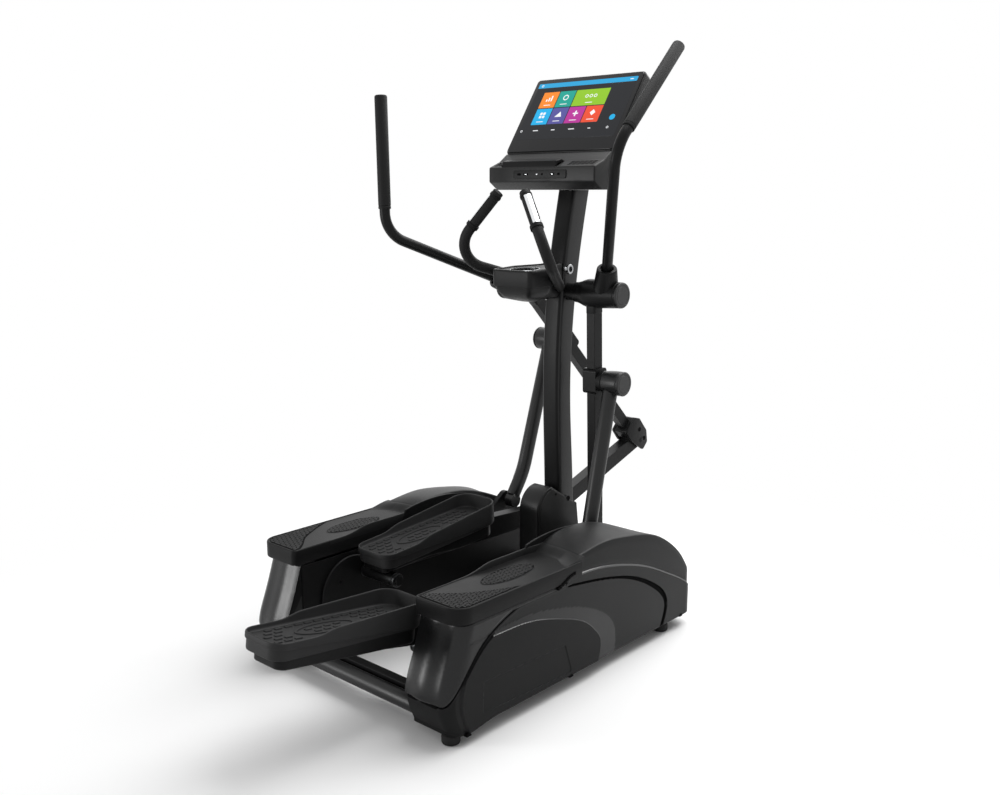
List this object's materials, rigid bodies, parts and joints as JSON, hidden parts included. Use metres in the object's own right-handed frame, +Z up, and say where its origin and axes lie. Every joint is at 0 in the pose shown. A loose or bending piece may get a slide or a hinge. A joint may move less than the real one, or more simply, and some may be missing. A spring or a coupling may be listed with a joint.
{
  "type": "elliptical trainer",
  "caption": "Elliptical cross trainer with pedals on swinging levers, side step decks, moving and fixed handles, and a mast with a tilted touch-screen console.",
  "frame": {"origin": "floor, under the middle of the machine's box", "axes": "+Z up, +Y the way the user faces, +X to the user's right"},
  "size_m": [0.792, 1.8683, 1.7228],
  "materials": {
    "powder_black": "satin",
    "housing_black": "matte",
    "pillar_black": "gloss",
    "tread_rubber": "matte",
    "grip_rubber": "matte",
    "steel": "satin",
    "sensor_metal": "polished",
    "screen": "gloss"
  },
  "bodies": {
    "base": {"rear_cross_tube": "powder_black", "front_cross_beam": "powder_black", "side_rails": "powder_black", "levelling_feet": "tread_rubber", "crank_bearings": "steel", "mast": "powder_black", "mast_base_cover": "housing_black", "upper_axle": "steel", "console_base": "housing_black", "reading_ledge": "housing_black", "port_strip": "housing_black", "cup_holder": "housing_black", "pulse_sensors": "sensor_metal", "screen_body": "housing_black", "screen_glass": "screen", "side_panel_right": "housing_black", "side_panel_left": "housing_black", "hump_right": "housing_black", "hump_left": "housing_black", "rear_body_right": "pillar_black", "rear_body_left": "pillar_black", "deck_right": "housing_black", "deck_left": "housing_black", "inner_panel_right": "housing_black", "inner_panel_left": "housing_black", "fixed_handle_right": "powder_black", "fixed_handle_left": "powder_black"},
    "right_lever": {"lever_tube_right": "powder_black", "lever_hub_right": "powder_black", "handlebar_right": "powder_black", "hand_grip_right": "grip_rubber", "pivot_caps_right": "housing_black", "mid_clamp_right": "powder_black", "knuckle_right": "powder_black", "knuckle_pin_right": "steel"},
    "right_pedal": {"pedal_arm_right": "powder_black", "pedal_tray_right": "housing_black", "pedal_pad_right": "tread_rubber", "pedal_base_right": "housing_black"},
    "right_rod": {"drive_rod_right": "powder_black"},
    "right_front_crank": {"front_crank_right": "powder_black"},
    "right_rear_crank": {"rear_crank_right": "powder_black"},
    "right_roller": {"roller_right": "steel"},
    "left_lever": {"lever_tube_left": "powder_black", "lever_hub_left": "powder_black", "handlebar_left": "powder_black", "hand_grip_left": "grip_rubber", "pivot_caps_left": "housing_black", "mid_clamp_left": "powder_black", "knuckle_left": "powder_black", "knuckle_pin_left": "steel"},
    "left_pedal": {"pedal_arm_left": "powder_black", "pedal_tray_left": "housing_black", "pedal_pad_left": "tread_rubber", "pedal_base_left": "housing_black"},
    "left_rod": {"drive_rod_left": "powder_black"},
    "left_front_crank": {"front_crank_left": "powder_black"},
    "left_rear_crank": {"rear_crank_left": "powder_black"},
    "left_roller": {"roller_left": "steel"}
  },
  "joints": [
    {"name": "right_lever_swing", "type": "hinge", "parent": "base", "child": "right_lever", "pos_m": [0.128, 0.3009, 1.017], "axis": [1, 0, 0], "range_deg": [0, 43.35]},
    {"name": "right_pedal_pivot", "type": "hinge", "parent": "right_lever", "child": "right_pedal", "pos_m": [0.128, 0.32997, 0.18451], "axis": [1, 0, 0], "range_deg": [-31.88, 0]},
    {"name": "right_rod_pivot", "type": "hinge", "parent": "right_lever", "child": "right_rod", "pos_m": [0.193, 0.31004, 0.75516], "axis": [1, 0, 0], "range_deg": [-48.11, 0]},
    {"name": "right_front_crank_turn", "type": "hinge", "parent": "base", "child": "right_front_crank", "pos_m": [0.24, 0.22792, 0.27483], "axis": [1, 0, 0], "range_deg": [0, 180.18]},
    {"name": "right_rear_crank_turn", "type": "hinge", "parent": "base", "child": "right_rear_crank", "pos_m": [0.24, -0.3561, 0.184], "axis": [1, 0, 0], "range_deg": [0, 180.18]},
    {"name": "right_roller_spin", "type": "hinge", "parent": "right_rear_crank", "child": "right_roller", "pos_m": [0.15, -0.40428, 0.13049], "axis": [1, 0, 0], "continuous": true},
    {"name": "left_lever_swing", "type": "hinge", "parent": "base", "child": "left_lever", "pos_m": [-0.128, 0.3009, 1.017], "axis": [1, 0, 0], "range_deg": [-43.35, 0]},
    {"name": "left_pedal_pivot", "type": "hinge", "parent": "left_lever", "child": "left_pedal", "pos_m": [-0.128, 0.89351, 0.43159], "axis": [1, 0, 0], "range_deg": [0, 31.88]},
    {"name": "left_rod_pivot", "type": "hinge", "parent": "left_lever", "child": "left_rod", "pos_m": [-0.193, 0.48729, 0.83287], "axis": [1, 0, 0], "range_deg": [0, 48.11]},
    {"name": "left_front_crank_turn", "type": "hinge", "parent": "base", "child": "left_front_crank", "pos_m": [-0.24, 0.22792, 0.27483], "axis": [1, 0, 0], "range_deg": [-180.18, 0]},
    {"name": "left_rear_crank_turn", "type": "hinge", "parent": "base", "child": "left_rear_crank", "pos_m": [-0.24, -0.3561, 0.184], "axis": [1, 0, 0], "range_deg": [-180.18, 0]},
    {"name": "left_roller_spin", "type": "hinge", "parent": "left_rear_crank", "child": "left_roller", "pos_m": [-0.15, -0.30792, 0.23751], "axis": [1, 0, 0], "continuous": true}
  ],
  "couplings": [
    {"joint": "right_pedal_pivot", "follows": "right_lever_swing", "ratio": -0.73472},
    {"joint": "right_rod_pivot", "follows": "right_lever_swing", "ratio": -1.1087},
    {"joint": "right_front_crank_turn", "follows": "right_lever_swing", "ratio": 4.1522},
    {"joint": "right_rear_crank_turn", "follows": "right_lever_swing", "ratio": 4.1522},
    {"joint": "left_lever_swing", "follows": "right_lever_swing", "ratio": -1},
    {"joint": "left_pedal_pivot", "follows": "right_lever_swing", "ratio": 0.73472},
    {"joint": "left_rod_pivot", "follows": "right_lever_swing", "ratio": 1.1087},
    {"joint": "left_front_crank_turn", "follows": "right_lever_swing", "ratio": -4.1522},
    {"joint": "left_rear_crank_turn", "follows": "right_lever_swing", "ratio": -4.1522}
  ]
}
